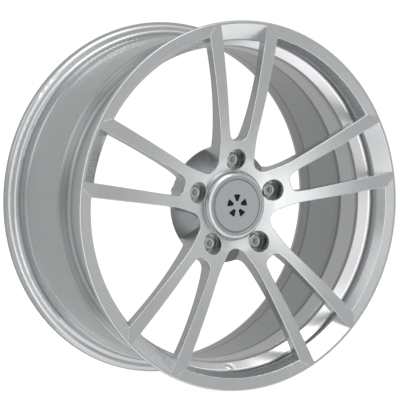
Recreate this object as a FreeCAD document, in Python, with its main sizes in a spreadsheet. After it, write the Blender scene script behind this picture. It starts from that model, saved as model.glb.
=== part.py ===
import math
import os

import FreeCAD
import Part
import Sketcher

from FreeCAD import Placement, Rotation, Vector

# A one-piece forged 19 x 8.5 inch wheel with five pairs of spokes, its centre cap and its lug bolts.
# Millimetres. The wheel turns about the Y axis. The origin is on that axis, on the face that bolts
# to the hub. -Y is the street side, +Y the car side, and +Z runs through the first lug bolt.
# "depth" is measured along +Y from the plane that touches the street side of the front flange.

DIMENSIONS = {
    # rim: 19 inch code, J flanges, 8.5 inches between them
    "flange_radius": 261.0,
    "bead_seat_radius": 243.7,
    "bead_width": 215.9,
    "overall_width": 238.6,
    "wheel_offset": 55.0,
    "flange_curl": 8.0,
    "flange_edge_round": 1.8,
    "bead_corner_round": 6.5,
    "bead_seat_length": 20.0,
    "bead_seat_drop": 1.8,
    "hump_height": 1.1,
    "hump_half_length": 3.2,
    "hump_round": 4.0,
    "well_radius": 228.0,
    "well_front_depth": 58.0,
    "well_rear_depth": 94.0,
    "well_round": 9.0,
    "barrel_radius": 240.3,
    "barrel_front_depth": 107.6,
    "barrel_round": 5.0,
    # inside of the rim
    "lip_edge_radius": 243.0,
    "lip_edge_depth": 1.7,
    "lip_edge_round": 0.9,
    "lip_foot_radius": 235.6,
    "lip_foot_depth": 15.1,
    "undercut_radius": 238.2,
    "undercut_front_depth": 17.4,
    "undercut_rear_depth": 32.0,
    "undercut_round": 1.5,
    "band_front_radius": 234.6,
    "band_front_depth": 34.3,
    "band_rear_radius": 226.2,
    "band_rear_depth": 48.8,
    "band_rear_round": 5.0,
    "turned_edge_round": 0.8,
    "well_inner_radius": 224.6,
    "well_inner_front_depth": 56.0,
    "well_inner_rear_depth": 98.3,
    "well_inner_round": 2.0,
    "turned_groove_width": 1.4,
    "turned_groove_sink": 0.9,
    "barrel_inner_front_radius": 234.6,
    "barrel_inner_front_depth": 113.5,
    "barrel_inner_front_round": 12.0,
    "barrel_inner_rear_radius": 236.8,
    "barrel_inner_rear_depth": 198.3,
    "barrel_inner_rear_round": 30.0,
    "rear_mouth_radius": 240.4,
    "rear_mouth_depth": 229.2,
    "rear_mouth_round": 1.2,
    "rear_land_radius": 253.5,
    "rear_land_round": 2.0,
    # spokes
    "spoke_pairs": 5,
    "face_outer_radius": 257.0,
    "face_bend_radius": 154.0,
    "face_bend_depth": 1.6,
    "face_sweep": 800.0,
    "face_inner_radius": 65.5,
    "face_inner_depth": 21.4,
    "face_inner_sweep": 60.0,
    "spoke_back_bend_radius": 165.0,
    "spoke_back_sweep": 300.0,
    "spoke_root_depth": 44.0,
    "spoke_root_round": 11.0,
    "pair_half_width": 29.4,
    "pair_bend_height": 93.6,
    "pair_bend_sweep": 150.0,
    "pair_top_half_width": 55.9,
    "pair_top_height": 238.3,
    "pair_cap_half_width": 37.7,
    "pair_cap_height": 267.1,
    "wide_window_round": 16.8,
    "window_reach": 300.0,
    "narrow_bottom_height": 92.7,
    "narrow_bottom_half_width": 12.0,
    "narrow_knee_half_width": 16.6,
    "narrow_knee_height": 113.0,
    "narrow_knee_round": 40.0,
    "narrow_bottom_round": 10.0,
    "narrow_foot_half_width": 34.3,
    "narrow_foot_height": 230.6,
    "shelf_foot_radius": 233.1,
    "shelf_foot_depth": 15.8,
    "shelf_top_radius": 255.6,
    "shelf_top_depth": 0.6,
    "shelf_start_lead": 4.0,
    "shelf_low_height": 205.0,
    # hub
    "pad_radius": 84.0,
    "pad_chamfer": 1.4,
    "flare_front_radius": 61.6,
    "flare_sink": 1.0,
    "flare_pad_land": 2.0,
    "hub_bore_radius": 35.8,
    "hub_bore_length": 20.0,
    "clip_bore_radius": 33.0,
    "cap_recess_radius": 38.6,
    "cap_recess_sink": 5.6,
    "boss_depth": 19.5,
    "boss_flat_radius": 43.3,
    "boss_shoulder_radius": 46.9,
    "boss_shoulder_depth": 21.4,
    "boss_shoulder_round": 3.0,
    "boss_foot_radius": 48.0,
    "boss_foot_depth": 28.8,
    "boss_groove_radius": 49.3,
    "boss_edge_round": 0.4,
    "face_foot_depth": 27.4,
    # lug bolt seats and bolts
    "bolt_circle": 130.0,
    "lug_pocket_radius": 15.3,
    "ball_centre_depth": 40.6,
    "ball_seat_radius": 14.0,
    "seat_top_radius": 13.0,
    "lug_hole_radius": 7.75,
    "collar_radius": 12.5,
    "collar_bore_radius": 7.35,
    "collar_top_depth": 45.05,
    "collar_foot_radius": 8.6,
    "fit_gap": 0.05,
    "tool_overrun": 2.0,
    "bolt_end_depth": 31.8,
    "bolt_hex_width": 19.0,
    "bolt_flange_depth": 42.6,
    "bolt_flange_radius": 11.6,
    "bolt_flange_round": 0.8,
    "bolt_flange_foot_round": 0.4,
    "bolt_neck_radius": 7.25,
    "bolt_thread_radius": 7.0,
    "bolt_thread_start_depth": 64.3,
    "bolt_neck_taper": 1.0,
    "bolt_tip_depth": 89.0,
    "bolt_tip_chamfer": 1.6,
    "bolt_crown_radius": 8.6,
    "bolt_crown_height": 1.5,
    "bolt_recess_radius": 4.3,
    "bolt_recess_depth": 1.6,
    # valve hole
    "valve_depth": 40.3,
    "valve_centre_radius": 231.0,
    "valve_tilt": 30.1,
    "valve_wall": 7.7,
    "valve_tool_lead": 6.0,
    "valve_radius": 5.65,
    "valve_spotface_radius": 8.6,
    "valve_spotface_sink": 1.3,
    "edge_round": 1.0,
    # centre cap
    "cap_radius": 38.25,
    "cap_rim_width": 2.25,
    "cap_front_depth": 19.1,
    "cap_plate_thickness": 3.6,
    "cap_edge_round": 0.6,
    "cap_face_radius": 37.0,
    "cap_face_thickness": 1.0,
    "cap_face_round": 0.25,
    "cap_collar_radius": 31.6,
    "cap_collar_inner_radius": 29.6,
    "cap_collar_end_depth": 44.0,
    "cap_bead_radius": 32.92,
    "cap_bead_depth": 36.0,
    "cap_bead_half_length": 2.1,
    "cap_bead_round": 0.8,
    "cap_slot_width": 5.0,
    "cap_slot_start_depth": 27.0,
    "cap_slots": 8,
    "clip_wire_radius": 0.9,
    "clip_wire_depth": 41.0,
    "inlay_inner_radius": 6.5,
    "inlay_outer_radius": 15.5,
    "inlay_half_width_inner": 1.9,
    "inlay_half_width_outer": 5.4,
    "inlay_crown_radius": 23.0,
    "inlay_thickness": 0.35,
}

# a face is a street face if its outward normal's -Y part is over this
STREET_FACE_LEAN = 0.85
# a circle is about the wheel's axis if its centre is nearer to it than this, in millimetres
ON_AXIS = 0.01

document = FreeCAD.newDocument("forged_wheel")
sheet = document.addObject("Spreadsheet::Sheet", "dims")


def fill_sheet():
    """One row per driving dimension: its name in column A and its value, with an alias, in column B."""
    for row, (alias, number) in enumerate(DIMENSIONS.items(), start=1):
        sheet.set(f"A{row}", alias.replace("_", " "))
        sheet.set(f"B{row}", str(number))
        sheet.setAlias(f"B{row}", alias)
    document.recompute()


def measure(expression):
    """The value of an expression of the sheet's cells, as a plain number."""
    return float(sheet.evalExpression(expression))


def at_depth(expression):
    """The Y position of a depth that is given as an expression."""
    return f"dims.wheel_offset - dims.overall_width / 2 + ({expression})"


class Corner:
    """A corner of an outline. It may be rounded, or an arc may run from it to the next corner."""

    def __init__(self, across, up, rounding=None, arc=None, arc_left=True):
        self.across = across
        self.up = up
        self.rounding = rounding
        self.arc = arc
        self.arc_left = arc_left

    def point(self):
        return Vector(measure(self.across), measure(self.up), 0)


def arc_between(start, end, radius, left):
    """A circular arc from start to end, which turns left or right on its way."""
    chord = end - start
    middle = (start + end) / 2
    normal = Vector(-chord.y, chord.x, 0).normalize()
    height = math.sqrt(max(radius**2 - (chord.Length / 2) ** 2, 0))
    centre = middle + normal * (height if left else -height)
    circle = Part.Circle(centre, Vector(0, 0, 1), radius)
    first, last = (start, end) if left else (end, start)
    angles = [math.atan2((p - centre).y, (p - centre).x) for p in (first, last)]
    return Part.ArcOfCircle(circle, angles[0], angles[1])


def tangent_points(before, corner, after, radius):
    """Where a rounding of this radius leaves the two straight edges that meet at a corner."""
    back = (before - corner).normalize()
    ahead = (after - corner).normalize()
    half_angle = back.getAngle(ahead) / 2
    reach = radius / math.tan(half_angle)
    turns_left = (corner - before).cross(after - corner).z > 0
    return corner + back * reach, corner + ahead * reach, turns_left


def bind(sketch, kind, references, expression):
    """Adds one dimension to a sketch and ties it to the sheet."""
    index = sketch.addConstraint(Sketcher.Constraint(kind, *references, measure(expression)))
    sketch.setExpression(f"Constraints[{index}]", expression)


def draw_outline(sketch, corners):
    """Draws a closed outline whose corners, roundings and arcs are all tied to the sheet."""
    count = len(corners)
    points = [corner.point() for corner in corners]
    starts = list(points)
    ends = list(points)
    rounds = {}
    for i, corner in enumerate(corners):
        if corner.rounding:
            radius = measure(corner.rounding)
            into, out, left = tangent_points(points[i - 1], points[i], points[(i + 1) % count], radius)
            ends[i] = into
            starts[i] = out
            rounds[i] = (radius, left)
    edges = []
    for i, corner in enumerate(corners):
        start = starts[i]
        end = ends[(i + 1) % count]
        if corner.arc:
            edges.append(sketch.addGeometry(arc_between(start, end, measure(corner.arc), corner.arc_left)))
            bind(sketch, "Radius", (edges[i],), corner.arc)
        else:
            edges.append(sketch.addGeometry(Part.LineSegment(start, end)))

    def joint(edge, at_start):
        """Which end of an edge's geometry a corner uses, because arcs always run to the left."""
        if corners[edge].arc and not corners[edge].arc_left:
            return 2 if at_start else 1
        return 1 if at_start else 2

    for i, corner in enumerate(corners):
        previous = (i - 1) % count
        if i in rounds:
            radius, left = rounds[i]
            rounding = sketch.addGeometry(arc_between(ends[i], starts[i], radius, left))
            arrive, leave = (1, 2) if left else (2, 1)
            sketch.addConstraint(Sketcher.Constraint("Tangent", edges[previous], 2, rounding, arrive))
            sketch.addConstraint(Sketcher.Constraint("Tangent", rounding, leave, edges[i], 1))
            bind(sketch, "Radius", (rounding,), corner.rounding)
            mark = sketch.addGeometry(Part.Point(points[i]), True)
            sketch.addConstraint(Sketcher.Constraint("PointOnObject", mark, 1, edges[previous]))
            sketch.addConstraint(Sketcher.Constraint("PointOnObject", mark, 1, edges[i]))
            held = (mark, 1)
        else:
            held = (edges[i], joint(i, True))
            arriving = (edges[previous], joint(previous, False))
            sketch.addConstraint(Sketcher.Constraint("Coincident", *arriving, *held))
        bind(sketch, "DistanceX", (-1, 1, *held), corner.across)
        bind(sketch, "DistanceY", (-1, 1, *held), corner.up)


def new_body(name):
    body = document.addObject("PartDesign::Body", name)
    body.Label = name
    return body


def origin_feature(body, role):
    return next(feature for feature in body.Origin.OriginFeatures if feature.Role == role)


def new_sketch(body, name, plane, corners, lift=None):
    """A closed outline on one of the body's own origin planes, lifted off it along its normal."""
    sketch = body.newObject("Sketcher::SketchObject", name)
    sketch.AttachmentSupport = (origin_feature(body, plane), [""])
    sketch.MapMode = "FlatFace"
    if lift:
        sketch.setExpression("AttachmentOffset.Base.z", lift)
    draw_outline(sketch, corners)
    return sketch


def turn(body, kind, name, sketch, axis="V_Axis"):
    """Revolves a profile all the way round, to add or to cut material."""
    feature = body.newObject(f"PartDesign::{kind}", name)
    feature.Profile = sketch
    feature.ReferenceAxis = (sketch, [axis])
    feature.Angle = 360
    return feature


def repeat_round(body, name, originals, count):
    """Repeats features round the wheel's axis."""
    pattern = body.newObject("PartDesign::PolarPattern", name)
    pattern.Originals = originals
    pattern.Axis = (origin_feature(body, "Y_Axis"), [""])
    pattern.Angle = 360
    pattern.setExpression("Occurrences", count)
    body.Tip = pattern
    return pattern


def rim_outline():
    """Section of the rim: round the tyre side from street to car, then back along the inside."""
    front_face = "(dims.overall_width - dims.bead_width) / 2"
    rear_face = "(dims.overall_width + dims.bead_width) / 2"
    curl_radius = "dims.flange_radius - dims.flange_curl"
    seat_end = "dims.bead_seat_radius - dims.bead_seat_drop"
    hump_top = f"{seat_end} + dims.hump_height"
    front_seat_end = f"{front_face} + dims.bead_seat_length"
    rear_seat_end = f"{rear_face} - dims.bead_seat_length"
    edge = "dims.flange_edge_round"
    groove = "dims.turned_groove_width"
    hump_round = "dims.hump_round"
    undercut = "dims.undercut_round"
    fine = "dims.turned_edge_round"
    return [
        Corner("dims.face_outer_radius", at_depth("0")),
        Corner("dims.flange_radius", at_depth("0"), rounding=edge),
        Corner("dims.flange_radius", at_depth(f"{front_face} - dims.flange_curl"), arc="dims.flange_curl"),
        Corner(curl_radius, at_depth(front_face)),
        Corner("dims.bead_seat_radius", at_depth(front_face), rounding="dims.bead_corner_round"),
        Corner(seat_end, at_depth(front_seat_end)),
        Corner(hump_top, at_depth(f"{front_seat_end} + dims.hump_half_length"), rounding=hump_round),
        Corner(seat_end, at_depth(f"{front_seat_end} + 2 * dims.hump_half_length"), rounding=hump_round),
        Corner("dims.well_radius", at_depth("dims.well_front_depth"), rounding="dims.well_round"),
        Corner("dims.well_radius", at_depth("dims.well_rear_depth"), rounding="dims.well_round"),
        Corner("dims.barrel_radius", at_depth("dims.barrel_front_depth"), rounding="dims.barrel_round"),
        Corner("dims.barrel_radius", at_depth(f"{rear_seat_end} - 2 * dims.hump_half_length")),
        Corner(hump_top, at_depth(f"{rear_seat_end} - dims.hump_half_length"), rounding=hump_round),
        Corner(seat_end, at_depth(rear_seat_end)),
        Corner("dims.bead_seat_radius", at_depth(rear_face), rounding="dims.bead_corner_round"),
        Corner(curl_radius, at_depth(rear_face), arc="dims.flange_curl"),
        Corner("dims.flange_radius", at_depth(f"{rear_face} + dims.flange_curl")),
        Corner("dims.flange_radius", at_depth("dims.overall_width"), rounding=edge),
        Corner("dims.rear_land_radius", at_depth("dims.overall_width"), rounding="dims.rear_land_round"),
        Corner("dims.rear_mouth_radius", at_depth("dims.rear_mouth_depth"), rounding="dims.rear_mouth_round"),
        Corner("dims.barrel_inner_rear_radius", at_depth("dims.barrel_inner_rear_depth"),
               rounding="dims.barrel_inner_rear_round"),
        Corner("dims.barrel_inner_front_radius", at_depth("dims.barrel_inner_front_depth"),
               rounding="dims.barrel_inner_front_round"),
        Corner("dims.well_inner_radius", at_depth("dims.well_inner_rear_depth"),
               rounding="dims.well_inner_round"),
        Corner("dims.well_inner_radius", at_depth(f"dims.well_inner_front_depth + {groove}")),
        Corner("dims.well_inner_radius + dims.turned_groove_sink",
               at_depth(f"dims.well_inner_front_depth + {groove} / 2")),
        Corner("dims.well_inner_radius", at_depth("dims.well_inner_front_depth")),
        Corner("dims.band_rear_radius", at_depth("dims.band_rear_depth"), rounding="dims.band_rear_round"),
        Corner("dims.band_front_radius", at_depth("dims.band_front_depth"), rounding=fine),
        Corner("dims.undercut_radius", at_depth("dims.undercut_rear_depth"), rounding=undercut),
        Corner("dims.undercut_radius", at_depth("dims.undercut_front_depth"), rounding=undercut),
        Corner("dims.lip_foot_radius", at_depth("dims.lip_foot_depth"), rounding=fine),
        Corner("dims.lip_edge_radius", at_depth("dims.lip_edge_depth"), rounding="dims.lip_edge_round"),
    ]


def disc_outline():
    """Section of the hub and spokes: out along the street face and back along the car side."""
    mount = "dims.overall_width / 2 - dims.wheel_offset"
    bore_end = f"{mount} - dims.hub_bore_length"
    fine = "dims.boss_edge_round"
    return [
        Corner("dims.clip_bore_radius", at_depth(bore_end)),
        Corner("dims.clip_bore_radius", at_depth("dims.boss_depth + dims.cap_recess_sink")),
        Corner("dims.cap_recess_radius", at_depth("dims.boss_depth + dims.cap_recess_sink")),
        Corner("dims.cap_recess_radius", at_depth("dims.boss_depth")),
        Corner("dims.boss_flat_radius", at_depth("dims.boss_depth"), rounding=fine),
        Corner("dims.boss_shoulder_radius", at_depth("dims.boss_shoulder_depth"),
               rounding="dims.boss_shoulder_round"),
        Corner("dims.boss_foot_radius", at_depth("dims.boss_foot_depth"), rounding=fine),
        Corner("dims.boss_groove_radius", at_depth("dims.boss_foot_depth"), rounding=fine),
        Corner("dims.boss_groove_radius", at_depth("dims.face_foot_depth"), rounding=fine),
        Corner("dims.face_inner_radius", at_depth("dims.face_inner_depth"), rounding="dims.face_inner_sweep"),
        Corner("dims.face_bend_radius", at_depth("dims.face_bend_depth"), rounding="dims.face_sweep"),
        Corner("dims.face_outer_radius", at_depth("0")),
        Corner("dims.face_outer_radius", at_depth("dims.lip_foot_depth / 3")),
        Corner("dims.lip_edge_radius", at_depth("dims.lip_foot_depth")),
        Corner("dims.spoke_back_bend_radius", at_depth("dims.lip_foot_depth"),
               rounding="dims.spoke_back_sweep"),
        Corner("dims.pad_radius", at_depth("dims.spoke_root_depth"), rounding="dims.spoke_root_round"),
        Corner("dims.pad_radius", at_depth(f"{mount} - dims.pad_chamfer")),
        Corner("dims.pad_radius - dims.pad_chamfer", at_depth(mount)),
        Corner("dims.hub_bore_radius", at_depth(mount)),
        Corner("dims.hub_bore_radius", at_depth(bore_end)),
    ]


def flare_outline():
    """Section of the cone that fills the root of each wide window, from the face back to the pad."""
    mount = "dims.overall_width / 2 - dims.wheel_offset"
    inner = "dims.cap_recess_radius + 2 * dims.flare_sink"
    return [
        Corner(inner, at_depth("dims.boss_foot_depth + dims.flare_sink")),
        Corner("dims.boss_groove_radius + dims.flare_sink",
               at_depth("dims.face_foot_depth + dims.flare_sink")),
        Corner("dims.flare_front_radius", at_depth("dims.face_inner_depth + 1.5 * dims.flare_sink")),
        Corner("dims.pad_radius", at_depth(f"{mount} - dims.pad_chamfer - dims.flare_pad_land")),
        Corner("dims.pad_radius", at_depth(f"{mount} - dims.pad_chamfer")),
        Corner("dims.pad_radius - dims.pad_chamfer", at_depth(mount)),
        Corner(inner, at_depth(mount)),
    ]


def in_window_frame(half_width, height):
    """Turns a point of a spoke pair's left edge into the frame of the wide window beside it."""
    half_step = "(180 deg / dims.spoke_pairs)"
    across = f"{height} * sin({half_step}) - {half_width} * cos({half_step})"
    outward = f"{half_width} * sin({half_step}) + {height} * cos({half_step})"
    return f"({across})", f"({outward})"


def wide_window_outline():
    """The window between two pairs, at 6 o'clock. It runs out past the rim, which is added later."""
    root = "dims.pair_half_width / sin(180 deg / dims.spoke_pairs)"
    bend = in_window_frame("dims.pair_half_width", "dims.pair_bend_height")
    top = in_window_frame("dims.pair_top_half_width", "dims.pair_top_height")
    cap = in_window_frame("dims.pair_cap_half_width", "dims.pair_cap_height")
    reach = "-dims.window_reach"
    sweep = "dims.pair_bend_sweep"
    return [
        Corner("0", f"-({root})", rounding="dims.wide_window_round"),
        Corner(f"-{bend[0]}", f"-{bend[1]}", rounding=sweep),
        Corner(f"-{top[0]}", f"-{top[1]}"),
        Corner(f"-{cap[0]}", f"-{cap[1]}"),
        Corner(f"-{cap[0]}", reach),
        Corner(cap[0], reach),
        Corner(cap[0], f"-{cap[1]}"),
        Corner(top[0], f"-{top[1]}"),
        Corner(bend[0], f"-{bend[1]}", rounding=sweep),
    ]


def narrow_window_outline():
    """The window inside a spoke pair, at 12 o'clock, up to the foot of its shelf."""
    half_width = "dims.narrow_foot_half_width"
    height = "dims.narrow_foot_height"
    low = ("dims.narrow_bottom_half_width", "dims.narrow_bottom_height")
    knee = ("dims.narrow_knee_half_width", "dims.narrow_knee_height")
    rounding = "dims.narrow_bottom_round"
    knee_round = "dims.narrow_knee_round"
    return [
        Corner(f"-{half_width}", height),
        Corner(f"-{knee[0]}", knee[1], rounding=knee_round),
        Corner(f"-{low[0]}", low[1], rounding=rounding),
        Corner(low[0], low[1], rounding=rounding),
        Corner(knee[0], knee[1], rounding=knee_round),
        Corner(half_width, height, arc="dims.shelf_foot_radius"),
    ]


def shelf_outline(radius):
    """One section of the sloped shelf at the top of a narrow window, with its outer edge at a radius."""
    slope = ("(dims.narrow_foot_half_width - dims.narrow_knee_half_width)"
             " / (dims.narrow_foot_height - dims.narrow_knee_height)")
    # the side line x = a + slope * z meets the circle x^2 + z^2 = radius^2
    offset = f"(dims.narrow_knee_half_width - dims.narrow_knee_height * {slope})"
    root = f"sqrt(({radius})^2 * (1 + ({slope})^2) - {offset}^2)"
    top_z = f"(({root} - {offset} * {slope}) / (1 + ({slope})^2))"
    top_x = f"({offset} + {slope} * {top_z})"
    low_x = f"({offset} + {slope} * dims.shelf_low_height)"
    return [
        Corner(f"-{top_x}", top_z),
        Corner(f"-{low_x}", "dims.shelf_low_height"),
        Corner(low_x, "dims.shelf_low_height"),
        Corner(top_x, top_z, arc=radius),
    ]


def lug_hole_outline():
    """Half section of a lug hole about its own axis: pocket, spherical seat and clearance hole."""
    centre = "dims.bolt_circle / 2"
    mount = "dims.overall_width / 2 - dims.wheel_offset"
    ball = "dims.ball_centre_depth"
    seat_top = f"{ball} + sqrt(dims.ball_seat_radius^2 - dims.seat_top_radius^2)"
    seat_end = f"{ball} + sqrt(dims.ball_seat_radius^2 - dims.lug_hole_radius^2)"
    return [
        Corner(at_depth("-dims.tool_overrun"), centre),
        Corner(at_depth(f"{mount} + dims.tool_overrun"), centre),
        Corner(at_depth(f"{mount} + dims.tool_overrun"), f"{centre} + dims.lug_hole_radius"),
        Corner(at_depth(seat_end), f"{centre} + dims.lug_hole_radius", arc="dims.ball_seat_radius"),
        Corner(at_depth(seat_top), f"{centre} + dims.seat_top_radius"),
        Corner(at_depth(seat_top), f"{centre} + dims.lug_pocket_radius"),
        Corner(at_depth("-dims.tool_overrun"), f"{centre} + dims.lug_pocket_radius"),
    ]


def add_own_axis(sketch, height):
    """A centre line parallel to the wheel's axis, for a hole or a bolt on the bolt circle."""
    level = measure(height)
    length = measure("dims.bolt_hex_width")
    line = sketch.addGeometry(Part.LineSegment(Vector(0, level, 0), Vector(length, level, 0)), True)
    sketch.addConstraint(Sketcher.Constraint("Horizontal", line))
    bind(sketch, "DistanceY", (-1, 1, line, 1), height)
    bind(sketch, "DistanceX", (-1, 1, line, 1), "0")
    bind(sketch, "DistanceX", (line, 1, line, 2), "dims.bolt_hex_width")


def cut_through(body, name, sketch):
    """Cuts an outline right through, both ways from its plane."""
    pocket = body.newObject("PartDesign::Pocket", name)
    pocket.Profile = sketch
    pocket.Type = "ThroughAll"
    pocket.SideType = "Symmetric"
    return pocket


def cut_shelf(body):
    """The sloped shelf that opens the top of a narrow window out over the lip."""
    slope = ("(dims.shelf_top_radius - dims.shelf_foot_radius)"
             " / (dims.shelf_foot_depth - dims.shelf_top_depth)")
    lead_radius = f"(dims.shelf_top_radius + (dims.shelf_top_depth + dims.shelf_start_lead) * {slope})"
    front = new_sketch(body, "shelf_front_profile", "XZ_Plane", shelf_outline(lead_radius),
                       lift=f"-({at_depth('-dims.shelf_start_lead')})")
    foot = new_sketch(body, "shelf_foot_profile", "XZ_Plane", shelf_outline("dims.shelf_foot_radius"),
                      lift=f"-({at_depth('dims.shelf_foot_depth')})")
    loft = body.newObject("PartDesign::SubtractiveLoft", "shelf")
    loft.Profile = front
    loft.Sections = [foot]
    loft.Ruled = True
    return loft


def cut_valve_hole(body):
    """The valve hole, square to the conical band at 6 o'clock, spot-faced at both ends."""
    start = "dims.valve_wall + dims.valve_tool_lead"
    stages = (
        ("valve_hole", "dims.valve_radius", start, f"{start} + dims.valve_tool_lead"),
        ("valve_inner_spotface", "dims.valve_spotface_radius", "dims.valve_spotface_sink",
         "dims.valve_spotface_sink + dims.valve_tool_lead"),
        ("valve_outer_spotface", "dims.valve_spotface_radius", start,
         "dims.valve_tool_lead + dims.valve_spotface_sink"),
    )
    for name, radius, back_off, height in stages:
        cylinder = body.newObject("PartDesign::SubtractiveCylinder", name)
        cylinder.setExpression("Radius", radius)
        cylinder.setExpression("Height", height)
        cylinder.Placement = Placement(Vector(), Rotation(Vector(1, 0, 0), 1))
        cylinder.setExpression("Placement.Rotation.Angle", "dims.valve_tilt * 1 deg")
        middle = at_depth("dims.valve_depth")
        rearward = f"({back_off}) * sin(dims.valve_tilt * 1 deg)"
        outward = f"({back_off}) * cos(dims.valve_tilt * 1 deg)"
        cylinder.setExpression("Placement.Base.y", f"{middle} + {rearward}")
        cylinder.setExpression("Placement.Base.z", f"-dims.valve_centre_radius - {outward}")


def is_street_face(face):
    """True for the turned surface that the spokes and hub show to the street."""
    low, high, near, far = face.ParameterRange
    point = face.valueAt((low + high) / 2, (near + far) / 2)
    normal = face.normalAt((low + high) / 2, (near + far) / 2)
    radius = math.hypot(point.x, point.z)
    inside = measure("dims.boss_groove_radius") < radius < measure("dims.face_outer_radius")
    faces_street = normal.y < -STREET_FACE_LEAN
    return inside and faces_street and point.y < measure(at_depth("dims.face_foot_depth"))


def is_turned_edge(edge):
    """True for a circle, or part of one, round the wheel's axis."""
    curve = edge.Curve
    if not isinstance(curve, Part.Circle):
        return False
    return math.hypot(curve.Center.x, curve.Center.z) < ON_AXIS


def window_edges(shape):
    """Names of the edges where the street face meets the walls of the windows and lug pockets."""
    uses = {}
    for face in shape.Faces:
        if is_street_face(face):
            for edge in face.Edges:
                uses.setdefault(edge.hashCode(), []).append(edge)
    lip = measure("dims.lip_edge_radius") - 1
    names = []
    for number, edge in enumerate(shape.Edges, start=1):
        if len(uses.get(edge.hashCode(), [])) != 1 or is_turned_edge(edge):
            continue
        middle = edge.valueAt((edge.FirstParameter + edge.LastParameter) / 2)
        if math.hypot(middle.x, middle.z) < lip:
            names.append(f"Edge{number}")
    return names


def make_forging():
    """Hub, spokes, lip and barrel: one forging, machined all over."""
    body = new_body("wheel_forging")
    disc = new_sketch(body, "disc_profile", "XY_Plane", disc_outline())
    turn(body, "Revolution", "disc", disc)
    wide = new_sketch(body, "wide_window_profile", "XZ_Plane", wide_window_outline())
    wide_cut = cut_through(body, "wide_window", wide)
    narrow = new_sketch(body, "narrow_window_profile", "XZ_Plane", narrow_window_outline())
    narrow_cut = cut_through(body, "narrow_window", narrow)
    windows = repeat_round(body, "windows", [wide_cut, narrow_cut], "dims.spoke_pairs")
    document.recompute()
    edge_round = body.newObject("PartDesign::Fillet", "window_edge_round")
    edge_round.Base = (windows, window_edges(windows.Shape))
    edge_round.setExpression("Radius", "dims.edge_round")
    flare = new_sketch(body, "flare_profile", "XY_Plane", flare_outline())
    turn(body, "Revolution", "flare", flare)
    rim = new_sketch(body, "rim_profile", "XY_Plane", rim_outline())
    turn(body, "Revolution", "rim", rim)
    shelf = cut_shelf(body)
    repeat_round(body, "shelves", [shelf], "dims.spoke_pairs")
    lug = new_sketch(body, "lug_hole_profile", "YZ_Plane", lug_hole_outline())
    add_own_axis(lug, "dims.bolt_circle / 2")
    lug_cut = turn(body, "Groove", "lug_hole", lug, axis="Axis0")
    repeat_round(body, "lug_holes", [lug_cut], "dims.spoke_pairs")
    cut_valve_hole(body)
    return body


def collar_outline():
    """Half section of a loose seat collar: flat on top, spherical underneath, bored for the bolt."""
    centre = "dims.bolt_circle / 2"
    ball = "(dims.ball_seat_radius - dims.fit_gap)"
    rim_depth = f"dims.ball_centre_depth + sqrt({ball}^2 - dims.collar_radius^2)"
    foot_depth = f"dims.ball_centre_depth + sqrt({ball}^2 - dims.collar_foot_radius^2)"
    return [
        Corner(at_depth("dims.collar_top_depth"), f"{centre} + dims.collar_bore_radius"),
        Corner(at_depth(foot_depth), f"{centre} + dims.collar_bore_radius"),
        Corner(at_depth(foot_depth), f"{centre} + dims.collar_foot_radius", arc=ball),
        Corner(at_depth(rim_depth), f"{centre} + dims.collar_radius"),
        Corner(at_depth("dims.collar_top_depth"), f"{centre} + dims.collar_radius"),
    ]


def turn_to_place(body, number):
    """Turns a piece made at 12 o'clock to its own step of the five round the wheel's axis."""
    body.Placement = Placement(Vector(), Rotation(Vector(0, 1, 0), 1))
    body.setExpression("Placement.Rotation.Angle", f"{number - 1} * 360 deg / dims.spoke_pairs")


def make_collar(number):
    """The loose collar between a bolt's flange and its spherical seat in the wheel."""
    body = new_body(f"lug_collar_{number}")
    profile = new_sketch(body, f"collar_profile_{number}", "YZ_Plane", collar_outline())
    add_own_axis(profile, "dims.bolt_circle / 2")
    turn(body, "Revolution", f"collar_{number}", profile, axis="Axis0")
    turn_to_place(body, number)
    return body


def shank_outline():
    """Half section of a bolt's round parts: flange, neck and threaded shank."""
    centre = "dims.bolt_circle / 2"
    flange_foot = "dims.collar_top_depth - dims.fit_gap"
    flange = f"{centre} + dims.bolt_flange_radius"
    neck = f"{centre} + dims.bolt_neck_radius"
    thread = f"{centre} + dims.bolt_thread_radius"
    return [
        Corner(at_depth("dims.bolt_flange_depth"), centre),
        Corner(at_depth("dims.bolt_tip_depth"), centre),
        Corner(at_depth("dims.bolt_tip_depth"), f"{thread} - dims.bolt_tip_chamfer"),
        Corner(at_depth("dims.bolt_tip_depth - dims.bolt_tip_chamfer"), thread),
        Corner(at_depth("dims.bolt_thread_start_depth"), thread),
        Corner(at_depth("dims.bolt_thread_start_depth - dims.bolt_neck_taper"), neck),
        Corner(at_depth(flange_foot), neck),
        Corner(at_depth(flange_foot), flange, rounding="dims.bolt_flange_foot_round"),
        Corner(at_depth("dims.bolt_flange_depth"), flange, rounding="dims.bolt_flange_round"),
    ]


def crown_outline():
    """Half section of what is turned off the end of a hexagon head to crown it."""
    centre = "dims.bolt_circle / 2"
    crown = f"{centre} + dims.bolt_crown_radius"
    corners = f"{centre} + dims.bolt_hex_width / sqrt(3) + dims.fit_gap"
    outside = f"{centre} + dims.bolt_hex_width"
    above = at_depth("dims.bolt_end_depth - dims.tool_overrun")
    foot = at_depth("dims.bolt_end_depth + dims.bolt_crown_height")
    return [
        Corner(above, crown),
        Corner(at_depth("dims.bolt_end_depth"), crown),
        Corner(foot, corners),
        Corner(foot, outside),
        Corner(above, outside),
    ]


def recess_outline():
    """Half section of the shallow round recess in the end of a bolt's head."""
    centre = "dims.bolt_circle / 2"
    wall = f"{centre} + dims.bolt_recess_radius"
    above = at_depth("dims.bolt_end_depth - dims.tool_overrun")
    floor = at_depth("dims.bolt_end_depth + dims.bolt_recess_depth")
    return [
        Corner(above, centre),
        Corner(floor, centre),
        Corner(floor, f"{wall} - dims.bolt_recess_depth / 2"),
        Corner(at_depth("dims.bolt_end_depth + dims.bolt_recess_depth / 2"), wall),
        Corner(above, wall),
    ]


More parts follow.
